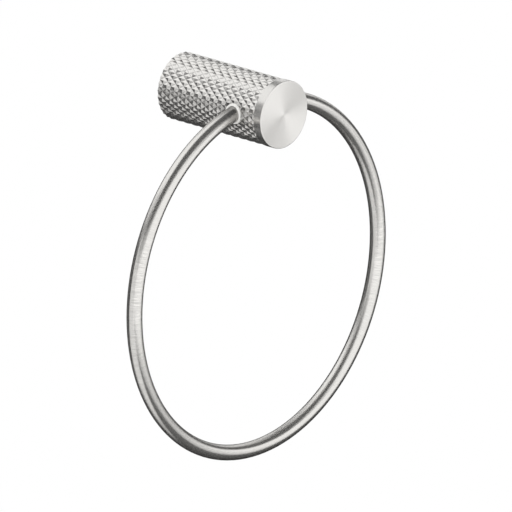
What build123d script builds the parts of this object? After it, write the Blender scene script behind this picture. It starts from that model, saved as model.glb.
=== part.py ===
from build123d import *
import os
from math import asin, ceil, cos, degrees, pi, radians, sin, sqrt, tan

# A towel ring on a round knurled post.
# The origin is the centre of the post's wall face. +Z is up and +Y points into the wall,
# so the post stands out along -Y and the ring hangs below it in a plane parallel to the wall.

# Ring
bar_diameter = 8.0
ring_outer_diameter = 190.0
bar_rise = 2.0
ring_standoff = 51.0
ring_end_gap = 0.6

# Post
post_diameter = 35.0
projection = 70.0
band_width = 5.0
face_rounding = 0.4
skirt_wall = 4.0
clamp_wall = 9.0

# Knurl
knurl_pitch_along = 5.33
knurl_pitch_round = 3.66
knurl_depth = 0.45
crest_relief = 0.05

# Ferrules
ferrule_length = 6.0
ferrule_proud = 0.3
ferrule_wall = 1.0
lip_rounding = 0.25

# Set screws that hold the ring's ends
ring_screw_diameter = 5.0
ring_screw_length = 8.0
ring_screw_spacing = 12.0
ring_flat_depth = 0.4
ring_flat_length = 9.0

# Wall boss
boss_head_room = 14.0
boss_floor = 6.0
wall_screw_spacing = 14.0
wall_screw_hole_diameter = 4.8
screw_head_bore_diameter = 9.0
boss_edge_chamfer = 0.8

# Lock screw
lock_screw_diameter = 5.0
lock_screw_setback = 8.3
lock_screw_recess = 0.4
lock_point_radius = 0.5
cone_half_angle = 45.0

# Hexagon sockets
socket_across_flats = 2.5
socket_depth = 2.2

# Clearances
bar_play = 0.06
passage_play = 0.15
press_gap = 0.03
boss_gap = 0.2
thread_gap = 0.05
point_gap = 0.05
overrun = 1.0

# Sizes worked out from those above
bar_radius = bar_diameter / 2
ring_radius = (ring_outer_diameter - bar_diameter) / 2
ring_drop = ring_radius - bar_rise
post_radius = post_diameter / 2
knurl_length = projection - band_width
crest_radius = post_radius - crest_relief
root_radius = crest_radius - knurl_depth
bore_radius = post_radius - skirt_wall
bore_depth = ring_standoff - bar_radius - clamp_wall
boss_radius = bore_radius - boss_gap
boss_length = bore_depth - boss_head_room


def ring_angle(side_reach):
    """Angle from the ring's top at which its centre line is this far to the side."""
    return asin(side_reach / ring_radius)


def ring_point(angle, side):
    """Point on the ring's centre line, on the side given by 1 or -1."""
    return Vector(side * ring_radius * sin(angle), -ring_standoff, ring_radius * cos(angle) - ring_drop)


def ring_direction(angle, side):
    """Direction of the ring's centre line there, outward and down."""
    return Vector(side * cos(angle), 0, -sin(angle))


def rod(start, direction, length, radius):
    """Round rod from a start point along a direction."""
    return Solid.make_cylinder(radius, length, Plane(origin=start, z_dir=direction))


ferrule_middle_angle = ring_angle(post_radius - (ferrule_length - ferrule_proud) / 2)
ferrule_bow = ring_radius - sqrt(ring_radius**2 - (ferrule_length / 2) ** 2)
ferrule_bore_radius = bar_radius + ferrule_bow + bar_play
ferrule_radius = ferrule_bore_radius + ferrule_wall


def ferrule_inner_end(side):
    """Centre of the ferrule's inner end."""
    middle = ring_point(ferrule_middle_angle, side)
    inward = ring_direction(ferrule_middle_angle, side) * -1
    return middle + inward * ((ferrule_length - ferrule_proud) / 2)


knurl_row_length = knurl_pitch_along / 2
knurl_rows = ceil(knurl_length / knurl_row_length)
knurl_diamonds_round = round(pi * post_diameter / knurl_pitch_round)


def knurl_point(row, column, radius):
    """Point of the knurl's lattice. A column is half a diamond wide, a row half a diamond long."""
    turn = pi * column / knurl_diamonds_round
    return Vector(radius * cos(turn), -row * knurl_row_length, radius * sin(turn))


def is_crest(row, column):
    """Raised points take every other place of the lattice, and valley crossings the rest."""
    return (row + column) % 2 == 1


def knurl_facets():
    """Four facets round each raised point, halves at the two ends."""
    facets = []
    for row in range(knurl_rows + 1):
        for column in range(2 * knurl_diamonds_round):
            if not is_crest(row, column):
                continue
            crest = knurl_point(row, column, crest_radius)
            left = knurl_point(row, column - 1, root_radius)
            right = knurl_point(row, column + 1, root_radius)
            for neighbour_row in (row - 1, row + 1):
                if 0 <= neighbour_row <= knurl_rows:
                    tip = knurl_point(neighbour_row, column, root_radius)
                    facets.append((crest, left, tip))
                    facets.append((crest, tip, right))
    return facets


def knurl_end(row):
    """Flat star that closes the barrel at its first or last row."""
    corners = []
    for column in range(2 * knurl_diamonds_round):
        radius = crest_radius if is_crest(row, column) else root_radius
        corners.append(knurl_point(row, column, radius))
    return corners


def knurled_barrel():
    """Barrel of raised pyramids in crossed helical rows. Its last row ends inside the band."""
    outlines = knurl_facets() + [knurl_end(0), knurl_end(knurl_rows)]
    faces = [Face(Wire.make_polygon(outline, close=True)) for outline in outlines]
    return Solid(Shell(faces))


def front_band():
    """Smooth band and flat face at the front, with the edge of the face rounded off."""
    disc = rod(Vector(0, -knurl_length, 0), Vector(0, -1, 0), band_width, post_radius)
    face_edge = disc.edges().filter_by(GeomType.CIRCLE).sort_by(Axis.Y)[0]
    return disc.fillet(face_rounding, [face_edge])


def bar_passage(side):
    """Ferrule seat and the narrower way from it to the middle of the post, drilled from one side."""
    seat_floor = ferrule_inner_end(side)
    outward = ring_direction(ferrule_middle_angle, side)
    seat = rod(seat_floor, outward, ferrule_length + overrun + knurl_depth, ferrule_radius + press_gap)
    middle = ring_point(0, side)
    inward = middle - seat_floor
    bow = ring_radius - sqrt(ring_radius**2 - (inward.length / 2) ** 2)
    way_radius = bar_radius + bow + passage_play
    start = seat_floor - inward.normalized() * overrun
    way = rod(start, inward, inward.length + 2 * overrun, way_radius)
    return [seat, way]


def ring_screw_places():
    """Where each set screw bears on its flat, on the ring's rear side."""
    angle = ring_angle(ring_screw_spacing / 2)
    to_flat = Vector(0, bar_radius - ring_flat_depth, 0)
    return [ring_point(angle, side) + to_flat for side in (-1, 1)]


def lock_screw_place():
    """Where the lock screw's cone begins, at the wall of the post's bore."""
    return Vector(0, -lock_screw_setback, -bore_radius)


def post():
    """Turned post: knurled barrel, band and face, with its bores."""
    solid = knurled_barrel().fuse(front_band())
    cuts = [rod(Vector(0, overrun, 0), Vector(0, -1, 0), bore_depth + overrun, bore_radius)]
    for side in (-1, 1):
        cuts += bar_passage(side)
    for place in ring_screw_places():
        mouth = Vector(place.X, -bore_depth + overrun, place.Z)
        hole_length = mouth.Y - place.Y + overrun
        cuts.append(rod(mouth, Vector(0, -1, 0), hole_length, ring_screw_diameter / 2 + thread_gap))
    lock_hole_length = skirt_wall + 2 * overrun
    lock_hole_start = lock_screw_place() + Vector(0, 0, overrun)
    cuts.append(rod(lock_hole_start, Vector(0, 0, -1), lock_hole_length, lock_screw_diameter / 2 + thread_gap))
    return solid.cut(*cuts)


def ring():
    """Round bar bent to a circle, open by a narrow gap at the top, with a flat near each end."""
    centre = Vector(0, -ring_standoff, -ring_drop)
    gap_angle = degrees(ring_end_gap / ring_radius)
    start_angle = radians(gap_angle / 2)
    section = Plane(origin=ring_point(start_angle, 1), z_dir=ring_direction(start_angle, 1)) * Circle(bar_radius)
    bar = revolve(section, Axis(centre, (0, 1, 0)), 360 - gap_angle)
    flat_height = bar_diameter
    flat = Box(2 * ring_flat_length, bar_radius, flat_height)
    flat_place = ring_point(0, 1) + Vector(0, bar_radius - ring_flat_depth + bar_radius / 2, 0)
    return bar - Pos(flat_place) * flat


def ferrule(side):
    """Short tube round the bar. Its outer end is a lip that follows the post's curve, with a rounded edge."""
    start = ferrule_inner_end(side)
    outward = ring_direction(ferrule_middle_angle, side)
    length = ferrule_length + 2 * overrun
    tube = rod(start, outward, length, ferrule_radius)
    tube = tube.cut(rod(start - outward * overrun, outward, length + 2 * overrun, ferrule_bore_radius))
    reach = ferrule_radius + overrun
    tube &= rod(Vector(0, reach - ring_standoff, 0), Vector(0, -1, 0), 2 * reach, post_radius + ferrule_proud)
    lip_edge = tube.edges().sort_by(SortBy.LENGTH)[-1]
    return tube.fillet(lip_rounding, [lip_edge])


def socket(end, inward):
    """Hexagon socket that goes inward from the end of a screw."""
    place = Plane(origin=end, z_dir=inward)
    return extrude(place * RegularPolygon(socket_across_flats / 2, 6, major_radius=False), socket_depth)


def ring_set_screws():
    """Two flat-ended set screws, one behind each end of the ring."""
    screws = []
    for place in ring_screw_places():
        screw = rod(place, Vector(0, 1, 0), ring_screw_length, ring_screw_diameter / 2)
        outer_end = place + Vector(0, ring_screw_length, 0)
        screws.append(screw - socket(outer_end, Vector(0, -1, 0)))
    return screws


def lock_screw_body(gap):
    """Cone point of the lock screw, larger all round by a gap."""
    radius = lock_screw_diameter / 2 + gap
    cone_height = (lock_screw_diameter / 2 - lock_point_radius) / tan(radians(cone_half_angle))
    place = Plane(origin=lock_screw_place(), z_dir=(0, 0, 1))
    return Solid.make_cone(radius, lock_point_radius + gap, cone_height + gap, place)


def lock_screw():
    """Cone-pointed set screw in the post's underside."""
    place = lock_screw_place()
    length = skirt_wall - crest_relief - knurl_depth - lock_screw_recess
    shank = rod(place, Vector(0, 0, -1), length, lock_screw_diameter / 2)
    outer_end = place - Vector(0, 0, length)
    return shank.fuse(lock_screw_body(0)) - socket(outer_end, Vector(0, 0, 1))


def wall_boss():
    """Round fixing piece with two counterbored screw holes and a dimple for the lock screw."""
    boss = rod(Vector(0, 0, 0), Vector(0, -1, 0), boss_length, boss_radius)
    front_edge = boss.edges().filter_by(GeomType.CIRCLE).sort_by(Axis.Y)[0]
    boss = boss.chamfer(boss_edge_chamfer, None, [front_edge])
    cuts = [lock_screw_body(point_gap)]
    for side in (-1, 1):
        reach = side * wall_screw_spacing / 2
        hole = Vector(reach, overrun, 0)
        cuts.append(rod(hole, Vector(0, -1, 0), boss_length + 2 * overrun, wall_screw_hole_diameter / 2))
        head = Vector(reach, -boss_floor, 0)
        cuts.append(rod(head, Vector(0, -1, 0), boss_length, screw_head_bore_diameter / 2))
    return boss.cut(*cuts)


def save(shape, name):
    """Writes one sub-part to its file."""
    export_step(shape, f"parts/{name}.step")


os.makedirs("parts", exist_ok=True)
save(post(), "post")
save(ring(), "ring")
save(ferrule(-1), "ferrule_left")
save(ferrule(1), "ferrule_right")
save(Compound(children=ring_set_screws()), "ring_set_screws")
save(wall_boss(), "wall_boss")
save(lock_screw(), "lock_screw")
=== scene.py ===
# %% [markdown]
# # A towel ring in brushed metal
# The part is a knurled round post that stands out from a wall, with a round bar bent to a circle
# hanging from it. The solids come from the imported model, knurl included, so no shape is made here. This
# lesson gives them their looks: a small studio, a camera, and one finish for each way that the real
# metal was worked.

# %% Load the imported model
import math

import bpy
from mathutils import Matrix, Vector


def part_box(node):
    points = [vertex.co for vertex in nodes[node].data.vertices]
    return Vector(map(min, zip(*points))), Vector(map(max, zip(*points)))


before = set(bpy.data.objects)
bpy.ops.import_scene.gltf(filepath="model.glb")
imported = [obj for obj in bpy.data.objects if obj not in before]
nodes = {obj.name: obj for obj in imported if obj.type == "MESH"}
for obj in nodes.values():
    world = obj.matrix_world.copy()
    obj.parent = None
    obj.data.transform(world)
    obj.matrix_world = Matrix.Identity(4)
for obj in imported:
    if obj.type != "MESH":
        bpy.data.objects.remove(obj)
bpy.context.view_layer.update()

print("nodes:", ", ".join(sorted(nodes)))

# %% [markdown]
# ## The sizes that the looks need
# Blender works in metres here, and the model's zero point is the middle of the post's end on the wall.
# The post runs along -Y and the ring hangs in a plane across it. The finishes below follow the shape, so
# they need the post's length, the ring's middle and the radius of the bar. All of them can be read from
# the boxes of the nodes, which keeps the finish in step with the model if a size is changed.

# %% Measure the post and the ring
MM = 0.001
post_low, post_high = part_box("post")
ring_low, ring_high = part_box("ring")

post_front = post_low[1]
post_radius = post_high[0]
bar_radius = (ring_high[1] - ring_low[1]) / 2
ring_y = (ring_high[1] + ring_low[1]) / 2
ring_z = (ring_high[2] + ring_low[2]) / 2
ring_radius = (ring_high[0] - ring_low[0]) / 2 - bar_radius
print("post: front at", round(post_front / MM, 2), "radius", round(post_radius / MM, 2))
print("ring: middle", round(ring_y / MM, 2), round(ring_z / MM, 2), "radius", round(ring_radius / MM, 2))

# %% [markdown]
# ## The camera
# The photograph was taken from the left of the post and a little above it, and its parallel edges stay
# parallel, so the camera has no perspective. An orthographic camera only needs a direction, a point in
# the middle of the picture and the width that the picture covers.

# %% Place the camera
CAMERA_DISTANCE = 0.5
PICTURE_WIDTH = 256.92 * MM
camera_back = Vector((-0.70390, -0.63713, 0.31399))
camera_aim = Vector((2.20, -48.93, -79.8)) * MM

camera_data = bpy.data.cameras.new("camera")
camera_data.type = "ORTHO"
camera_data.ortho_scale = PICTURE_WIDTH
camera = bpy.data.objects.new("camera", camera_data)
camera.location = camera_aim + camera_back * CAMERA_DISTANCE
camera.rotation_mode = "QUATERNION"
camera.rotation_quaternion = camera_back.to_track_quat("Z", "Y")
bpy.context.scene.collection.objects.link(camera)
bpy.context.scene.camera = camera
bpy.context.scene.view_settings.view_transform = "Standard"
print("camera at", [round(value, 3) for value in camera.location])

# %% [markdown]
# ## Writing a finish as sums
# A procedural finish is a chain of nodes. Wiring each one by hand hides the idea behind it, so two small
# classes do the wiring. `Signal` is one value that changes over the surface, and the usual signs for
# sums and products add the Math nodes. `Finish` is a material, and its `node` adds any other node: its
# settings first, then the values or signals that go into its sockets.

# %% A signal that can be used in a sum
class Signal:
    """A value that changes over a surface."""

    def __init__(self, finish, socket):
        self.finish = finish
        self.socket = socket

    def maths(self, operation, *terms):
        return self.finish.node("ShaderNodeMath", {"operation": operation}, dict(enumerate(terms)))

    def __add__(self, other):
        return self.maths("ADD", self, other)

    def __radd__(self, other):
        return self.maths("ADD", other, self)

    def __sub__(self, other):
        return self.maths("SUBTRACT", self, other)

    def __rsub__(self, other):
        return self.maths("SUBTRACT", other, self)

    def __mul__(self, other):
        return self.maths("MULTIPLY", self, other)

    def __rmul__(self, other):
        return self.maths("MULTIPLY", other, self)

    def __truediv__(self, other):
        return self.maths("DIVIDE", self, other)

    def __rtruediv__(self, other):
        return self.maths("DIVIDE", other, self)

    def root(self):
        return self.maths("SQRT", self)

    def angle(self, other):
        return self.maths("ARCTAN2", self, other)

    def above(self, edge, soft):
        """0 below the edge and 1 above it, with a soft step between."""
        return self.finish.node(
            "ShaderNodeMapRange",
            {"interpolation_type": "SMOOTHSTEP"},
            {"Value": self, "From Min": edge - soft, "From Max": edge + soft},
        )


# %% A finish that is built from nodes
class Finish:
    """A material that is built up node by node."""

    def __init__(self, name):
        self.material = bpy.data.materials.new(name)
        self.material.use_nodes = True
        self.tree = self.material.node_tree
        self.tree.nodes.remove(self.tree.nodes["Principled BSDF"])

    def node(self, kind, settings, sockets, output=0):
        made = self.tree.nodes.new(kind)
        for name, value in settings.items():
            setattr(made, name, value)
        for name, value in sockets.items():
            if isinstance(value, Signal):
                self.tree.links.new(value.socket, made.inputs[name])
            else:
                made.inputs[name].default_value = value
        return Signal(self, made.outputs[output])

    def vector(self, operation, *terms):
        return self.node("ShaderNodeVectorMath", {"operation": operation}, dict(enumerate(terms)))

    def scaled(self, vector, size):
        return self.node("ShaderNodeVectorMath", {"operation": "SCALE"}, {0: vector, "Scale": size})

    def arrow(self, x, y, z):
        return self.node("ShaderNodeCombineXYZ", {}, {0: x, 1: y, 2: z})

    def place(self):
        """X, Y and Z of the point on the object, in millimetres."""
        point = self.scaled(self.node("ShaderNodeTexCoord", {}, {}, "Object"), 1 / MM)
        return [self.node("ShaderNodeSeparateXYZ", {}, {0: point}, axis) for axis in "XYZ"]

    def noise(self, x, y, z, detail=2.0):
        """A smooth random value, about -0.5 to 0.5, at the point that the three signals name."""
        sockets = {"Vector": self.arrow(x, y, z), "Scale": 1.0, "Detail": detail}
        return self.node("ShaderNodeTexNoise", {}, sockets) - 0.5

    def shader(self, colour, roughness, metallic=1.0, **more):
        """The Principled shader, which is a metal unless metallic is 0."""
        sockets = {"Base Color": colour, "Roughness": roughness, "Metallic": metallic} | more
        return self.node("ShaderNodeBsdfPrincipled", {}, sockets)

    def dress(self, surface, *names):
        self.tree.links.new(surface.socket, self.tree.nodes["Material Output"].inputs["Surface"])
        for name in names:
            for slot in nodes[name].material_slots:
                slot.material = self.material
        print(self.material.name, "with", len(self.tree.nodes), "nodes on", ", ".join(names))


# %% [markdown]
# Brushed metal is covered in scratches that all run one way. Each scratch is a tiny groove with two
# flanks, which lean to either side of it, so a lamp's reflection is drawn out across the scratches. The
# grooves are much finer than a pixel. A bump texture that fine would only give grain, so `brushed` draws
# none: it mixes two metal shaders half and half, one for each flank, and tilts their normals opposite
# ways. Real metal also shines a little less just before it turns away from the eye, which `outline` sets.

# %% Brushed metal from two shaders
def brushed(finish, colour, roughness, across, slope, lean=(0.0, 0.0, 0.0), outline=1.0):
    """Metal with scratches: across is the direction across them, slope how steep their flanks are.

    The normal of the surface itself leans over by the vector lean. An outline below 1 dims the
    metal where it turns away from the eye."""
    flat = finish.vector("ADD", finish.node("ShaderNodeNewGeometry", {}, {}, "Normal"), lean)
    edge = {"Specular Tint": (outline, outline, outline, 1.0)}
    flanks = []
    for side in (slope, slope * -1):
        normal = finish.vector("NORMALIZE", finish.vector("ADD", flat, finish.scaled(across, side)))
        flanks.append(finish.shader(colour, roughness, Normal=normal, **edge))
    return finish.node("ShaderNodeMixShader", {}, {0: 0.5, 1: flanks[0], 2: flanks[1]})


# %% [markdown]
# ## The studio
# Metal has next to no colour of its own: it shows what stands around it. Around the real one stood a
# few large soft lights, and the dark gaps between them draw the dark lines along the bar. A photographer
# of silver builds this as a tent: dark cloth all round, with windows cut where the light comes in. Here
# the room is an even white world over a pale floor, and the tent is a large sphere that only
# reflections see, so the floor and the background stay white. The floor lies just below the tent.

# %% A white room and a pale floor
FLOOR_SIZE = 12.0
FLOOR_HEIGHT = -0.78

world = bpy.data.worlds.new("white room")
world.use_nodes = True
world.node_tree.nodes["Background"].inputs["Color"].default_value = (1, 1, 1, 1)
world.node_tree.nodes["Background"].inputs["Strength"].default_value = 1.0
world.cycles.sampling_method = "NONE"
bpy.context.scene.world = world


def cloth(name, grey):
    """A dull material that is the same grey all over."""
    made = bpy.data.materials.new(name)
    made.use_nodes = True
    shader = made.node_tree.nodes["Principled BSDF"]
    shader.inputs["Base Color"].default_value = (grey, grey, grey, 1)
    shader.inputs["Roughness"].default_value = 1.0
    shader.inputs["Specular IOR Level"].default_value = 0.0
    return made


bpy.ops.mesh.primitive_plane_add(size=FLOOR_SIZE, location=(0, 0, FLOOR_HEIGHT))
floor = bpy.context.object
floor.name = "floor"
floor.data.materials.append(cloth("floor paint", 1.0))
print("floor at", round(floor.location.z, 2), "m")

# %% [markdown]
# Each opening in the tent is a flat rectangle seen from the middle. It is named by the direction that it
# faces, in degrees round from the front and degrees up, and by its four edges. An edge is a slope: how
# far to the side, or up, the line of sight goes for each metre towards the opening. A window has no
# cloth at all and lets the white room in, and a panel is thinner cloth that lets in part of the light.
# Where two openings overlap, the first one in the list counts, so the large dark cloths come last.

# %% Plan the windows and the panels
def look(turn, rise):
    """The direction that is so many degrees round from the front of the ring, and so many up."""
    turn, rise = math.radians(turn), math.radians(rise)
    return Vector((math.sin(turn) * math.cos(rise), -math.cos(turn) * math.cos(rise), math.sin(rise)))


WINDOW = 1.0
WIDE = 9.0
FAR_CLOTH = 0.06

# name, degrees round, degrees up, left, right, low and high slope, brightness
openings = [
    ("corner cloth", -6, 0, 1.89, 2.93, -0.81, -0.42, 0.27),
    ("front window, left", 0, 0, -2.42, 0.38, -0.68, 0.83, WINDOW),
    ("front window, right", 0, 0, 0.38, 3.24, -0.73, 0.52, WINDOW),
    ("overhead window", 0, 90, -0.93, 0.4, 0.1, 3.64, WINDOW),
    ("rear strip", 163, 20, -0.48, -0.18, 0.13, 0.22, 0.22),
    ("left panel", -86, 0, -0.7, 0.48, -3.96, 0.43, 0.75),
    ("left upper panel", -96, 0, -0.42, -0.2, 0.43, 0.64, 0.7),
    ("rear panel", -157, 0, -0.17, 0.53, 0.39, 0.91, 0.58),
    ("left far strip", -118, 0, -1.41, -0.57, -1.35, 0.49, 0.14),
    ("left low panel", -87, 0, -0.9, 0.72, -5.96, -0.75, 0.91),
    ("right panel", 125, 15, -0.5, 0.3, -0.21, 0.47, 0.84),
    ("right panel, far end", 125, 15, 0.3, 0.7, 0.03, 0.47, 0.84),
    ("upper cloth", 0, 90, -WIDE, WIDE, -WIDE, WIDE, 0.12),
    ("near cloth", -20, 0, -WIDE, WIDE, -WIDE, WIDE, 0.12),
]


def opening_towards(direction):
    """The brightness of the first opening that a line of sight meets, or of the dark cloth."""
    for name, turn, rise, left, right, low, high, brightness in openings:
        ahead = direction.dot(look(turn, rise))
        if ahead > 0:
            aside = direction.dot(look(turn + 90, 0)) / ahead
            above = direction.dot(look(turn, rise + 90)) / ahead
            if left < aside < right and low < above < high:
                return brightness
    return FAR_CLOTH


print("straight ahead", opening_towards(look(0, 0)), "and behind", opening_towards(look(150, -20)))

# %% [markdown]
# The tent could be put together from flat cards on stands, but then light creeps in between the cards.
# One sphere has no such gaps. Each of its faces takes the cloth of the opening that its middle points
# at, and where that is a window, the face is selected in code and deleted in edit mode. The sphere is
# then hidden from the camera, from the soft light and from shadows, and only reflections find it.

# %% Sew the tent
TENT_RADIUS = 0.62
TENT_SEGMENTS = 144
TENT_RINGS = 72

bpy.ops.object.select_all(action="DESELECT")
bpy.ops.mesh.primitive_uv_sphere_add(
    segments=TENT_SEGMENTS, ring_count=TENT_RINGS, radius=TENT_RADIUS
)
tent = bpy.context.object
tent.name = "tent"
brightnesses = sorted({opening[-1] for opening in openings} | {FAR_CLOTH})
for brightness in brightnesses:
    tent.data.materials.append(cloth("cloth " + str(brightness), brightness))

bpy.ops.object.mode_set(mode="EDIT")
bpy.ops.mesh.select_mode(type="FACE")
bpy.ops.mesh.select_all(action="DESELECT")
bpy.ops.object.mode_set(mode="OBJECT")
all_faces = len(tent.data.polygons)
for face in tent.data.polygons:
    brightness = opening_towards(face.center)
    face.material_index = brightnesses.index(brightness)
    face.select = brightness == WINDOW
bpy.ops.object.mode_set(mode="EDIT")
bpy.ops.mesh.delete(type="FACE")
bpy.ops.object.mode_set(mode="OBJECT")

tent.location = (0, ring_y, ring_z)
tent.visible_camera = False
tent.visible_diffuse = False
tent.visible_shadow = False
print("the tent keeps", len(tent.data.polygons), "of", all_faces, "faces")

# %% [markdown]
# ## The parts of the post
# One solid carries four surfaces that were worked in different ways: the flat face, the rounded rim
# round it, the smooth band, and the knurled barrel. They could be split into four solids, or given four
# material slots. Here one material tells them apart by place alone, with a mask for each surface that is
# 1 on it and 0 elsewhere. The masks come from how far a point lies behind the front of the post, and
# the mask of the band takes in the rim. All lengths here are in millimetres.

# %% Mark the parts of the post
# how far each part reaches behind the front, and half the width of the soft step at its end
FACE_DEPTH, FACE_STEP = 0.02, 0.01
RIM_WIDTH, RIM_STEP = 0.4, 0.02
BAND_WIDTH, BAND_STEP = 5.0, 0.05
front = post_front / MM

knurled = Finish("knurled metal")
x, y, z = knurled.place()
axis_distance = (x * x + z * z).root()
face_mask = 1 - y.above(front + FACE_DEPTH, FACE_STEP)
rim_mask = (1 - y.above(front + RIM_WIDTH, RIM_STEP)) * (1 - face_mask)
knurl_mask = y.above(front + BAND_WIDTH, BAND_STEP)
band_mask = 1 - knurl_mask - face_mask
print("face at", round(front, 2), "and rim to", round(front + RIM_WIDTH, 2))
print("band to", round(front + BAND_WIDTH, 2), "and the knurl behind it")

# %% [markdown]
# ## The finish of the post
# The post is turned on a lathe. Its barrel is knurled: two hardened wheels with slanted teeth are
# pressed into it and leave crossing grooves, with small diamond pyramids between them. The pyramids are
# real shape here, so their finish is clean bright metal without lines. On the band, fine lathe lines run
# round the post and draw each reflection out along it. The flat face shows two light and two dark
# sectors that meet in the middle. Fine lines from the middle to the rim give it that look: their
# direction turns round the face, so the reflection is drawn out into the window at two places and past
# its edge at two. The rim is narrower than a pixel, and its normals lean to the front, so that it shines
# like the face and not like a dark line round it.

# %% Draw the lines of the post
BAND_SLOPE = 0.07
FACE_SLOPE = 0.15
RIM_LEAN = 1.5

across_lines = knurled.arrow(
    z * -1 / axis_distance * face_mask,
    1 - face_mask,
    x / axis_distance * face_mask,
)
line_slope = BAND_SLOPE * band_mask + FACE_SLOPE * face_mask
rim_lean = knurled.arrow(0.0, rim_mask * -RIM_LEAN, 0.0)
print("flanks lean", BAND_SLOPE, "on the band and", FACE_SLOPE, "on the face")

# %% [markdown]
# The colour of the metal carries painted shade. It is made greyer beside the hole that the bar goes into,
# a painted shade round the hole. It is a little darker at the bottom of the grooves, a painted shade
# where less light reaches, and a little darker on the band. An Ambient Occlusion node could find the
# hole and the grooves as real shade, but it takes many rays and gives grain. How far a point lies from
# the middle of the hole, and from the axis of the post, tells the same.

# %% Shade the post
# painted shade: the colour is darkened within this reach of the middle of the hole
HOLE_SHADE_BRIGHTNESS = 0.62
HOLE_REACH = 7.0
HOLE_FADE = 2.0
hole_distance = ((y - ring_y / MM) * (y - ring_y / MM) + z * z).root()
painted_hole_shade = HOLE_SHADE_BRIGHTNESS + (1 - HOLE_SHADE_BRIGHTNESS) * hole_distance.above(HOLE_REACH, HOLE_FADE)

# painted shade: the colour is darkened at the bottom of the grooves, where less light reaches
GROOVE_DEPTH = 0.5
GROOVE_SHADE = 0.25
# where the shade starts and ends, outwards from the floor of a groove, and half of each soft step
SHADE_START, START_STEP = -0.1, 0.03
SHADE_END, END_STEP = 0.05, 0.07
groove_floor = post_radius / MM - GROOVE_DEPTH
from_floor = axis_distance.above(groove_floor + SHADE_START, START_STEP)
groove = from_floor - axis_distance.above(groove_floor + SHADE_END, END_STEP)
painted_groove_shade = 1 - GROOVE_SHADE * groove * knurl_mask

BAND_SHADE = 0.07
on_band = 1 - BAND_SHADE * band_mask
print("floor of the grooves at radius", round(groove_floor, 2))

# %% Finish the post
POST_METAL = (0.86, 0.845, 0.82)
KNURL_ROUGHNESS = 0.2
BAND_ROUGHNESS = 0.25
FACE_ROUGHNESS = 0.22

# the colour carries the painted shade round the hole and in the grooves
colour = knurled.scaled(POST_METAL, painted_hole_shade * painted_groove_shade * on_band)
roughness = KNURL_ROUGHNESS * knurl_mask + BAND_ROUGHNESS * band_mask + FACE_ROUGHNESS * face_mask
surface = brushed(knurled, colour, roughness, across_lines, line_slope, rim_lean)
knurled.dress(surface, "post")

# %% [markdown]
# ## The bent bar
# The ring is one round bar, brushed with a belt that ran round it, so the scratches go round the
# section and not along the bar, and spread each reflection along it. The finish needs to know which way
# the bar runs at a point, and how far along it the point is. A UV map could say both, but here they come
# from the angle about the middle of the ring. The angle starts at the lowest point, so the place where
# it jumps from one end to the other is at the top, hidden in the post.

# %% Find the way along the bar
bar = Finish("brushed bar")
x, y, z = bar.place()
from_middle = z - ring_z / MM
middle_distance = (x * x + from_middle * from_middle).root()
along_ring = bar.arrow(from_middle * -1 / middle_distance, 0.0, x / middle_distance)
along = x.angle(from_middle * -1) * (ring_radius / MM)
print("once round the ring is", round(math.tau * ring_radius / MM), "mm")

# %% [markdown]
# The belt leaves short light and dark strokes across the bar, most of all at the ring's two sides. They
# are a noise that changes fast along the bar and slowly across it. Near the post the bar's colour is
# darker: painted shade, for the post's shadow and its dark reflection in the bar. Its edges, where it
# turns away from the eye, are darker than the rest.

# %% Finish the bar
STROKES_PER_MM = 3.0
STROKE_WAVER = 0.2
STROKE_STRENGTH = 0.5
outward = middle_distance - ring_radius / MM
wallward = y - ring_y / MM
strokes = bar.noise(along * STROKES_PER_MM, outward * STROKE_WAVER, wallward * STROKE_WAVER, 0.0)
beside = x / (ring_radius / MM) * x / (ring_radius / MM)
streaks = 1 + strokes * beside * beside * beside * STROKE_STRENGTH

# painted shade: dull is the bar's colour darkened near the post, for its shadow and its reflection
POST_SHADE_BRIGHTNESS = 0.55
POST_SHADE_REACH = 24.5
POST_SHADE_FADE = 6.5
post_distance = (x * x + z * z).root()
dull = POST_SHADE_BRIGHTNESS + (1 - POST_SHADE_BRIGHTNESS) * post_distance.above(POST_SHADE_REACH, POST_SHADE_FADE)

BAR_METAL = (0.84, 0.825, 0.797)
BAR_ROUGHNESS = 0.25
BAR_SLOPE = 0.08
BAR_OUTLINE = 0.6
colour = bar.scaled(BAR_METAL, dull * streaks)
surface = brushed(bar, colour, BAR_ROUGHNESS, along_ring, BAR_SLOPE, outline=BAR_OUTLINE)
bar.dress(surface, "ring")

# %% [markdown]
# ## The white bushes
# The bushes keep the bar from scraping on the post. Round each hole their lip shines bright all round,
# and that shine is a painted highlight. The bushes get a white colour on a shader that is no metal, which
# scatters light in all directions, so the lip stays white all round while the metal beside it turns
# dark. A soft noise makes the white and the roughness a little uneven, so the sheen isn't quite even.

# %% Finish the bushes
# painted highlight: the lip's bright shine is given as a white colour on a shader that is no metal
LIP_HIGHLIGHT_WHITE = (0.98, 0.97, 0.94)
LIP_HIGHLIGHT_ROUGHNESS = 0.5
MOTTLE_PER_MM = 1.2
MOTTLE_IN_COLOUR = 0.02
MOTTLE_IN_SHEEN = 0.2

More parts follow.
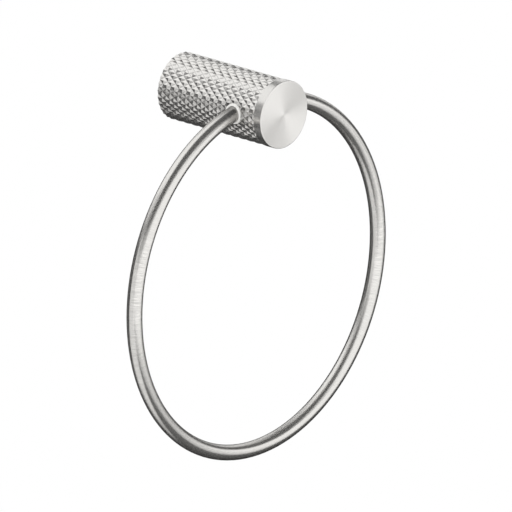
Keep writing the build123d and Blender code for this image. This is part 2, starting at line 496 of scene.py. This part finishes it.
lip = Finish("white lip highlight")
x, y, z = lip.place()
mottle = lip.noise(x * MOTTLE_PER_MM, y * MOTTLE_PER_MM, z * MOTTLE_PER_MM)
lip_highlight_colour = lip.scaled(LIP_HIGHLIGHT_WHITE, 1 + mottle * MOTTLE_IN_COLOUR)
surface = lip.shader(lip_highlight_colour, LIP_HIGHLIGHT_ROUGHNESS + mottle * MOTTLE_IN_SHEEN, metallic=0.0)
lip.dress(surface, "ferrule_left", "ferrule_right")

# %% [markdown]
# ## The fixing piece and the set screws
# The round piece that closes the post's end on the wall is turned and left as it came from the lathe.
# The tool crosses its flat end in rings, so the lines lie round the middle and the flanks lean to it and
# away from it. They are deep, and no two rings are alike, so the slope and the grey change a little from
# ring to ring. The set screws are plain steel with a dull, slightly uneven skin from hardening, so they
# get no lines, and a soft noise in their grey and in their sheen.

# %% Finish the fixing piece
TURNED_METAL = (0.74, 0.73, 0.71)
TURNED_ROUGHNESS = 0.35
TURNED_SLOPE = 0.28
RINGS_PER_MM = 2.5
RINGS_IN_COLOUR = 0.5
RINGS_IN_SLOPE = 0.3

turned = Finish("boss metal")
x, y, z = turned.place()
axis_distance = (x * x + z * z).root()
rings = turned.noise(axis_distance * RINGS_PER_MM, 0.0, 0.0)
from_axis = turned.arrow(x / axis_distance, 0.0, z / axis_distance)
grey = turned.scaled(TURNED_METAL, 1 + rings * RINGS_IN_COLOUR)
ring_slope = TURNED_SLOPE + rings * RINGS_IN_SLOPE
turned.dress(brushed(turned, grey, TURNED_ROUGHNESS, from_axis, ring_slope), "wall_boss")

# %% Finish the set screws
SCREW_STEEL = (0.5, 0.5, 0.51)
SCREW_ROUGHNESS = 0.34
SKIN_PER_MM = 2.0
SKIN_IN_COLOUR = 0.3
SKIN_IN_SHEEN = 0.2

steel = Finish("screw steel")
x, y, z = steel.place()
skin = steel.noise(x * SKIN_PER_MM, y * SKIN_PER_MM, z * SKIN_PER_MM)
hardened = steel.scaled(SCREW_STEEL, 1 + skin * SKIN_IN_COLOUR)
surface = steel.shader(hardened, SCREW_ROUGHNESS + skin * SKIN_IN_SHEEN)
steel.dress(surface, "ring_set_screws", "lock_screw")
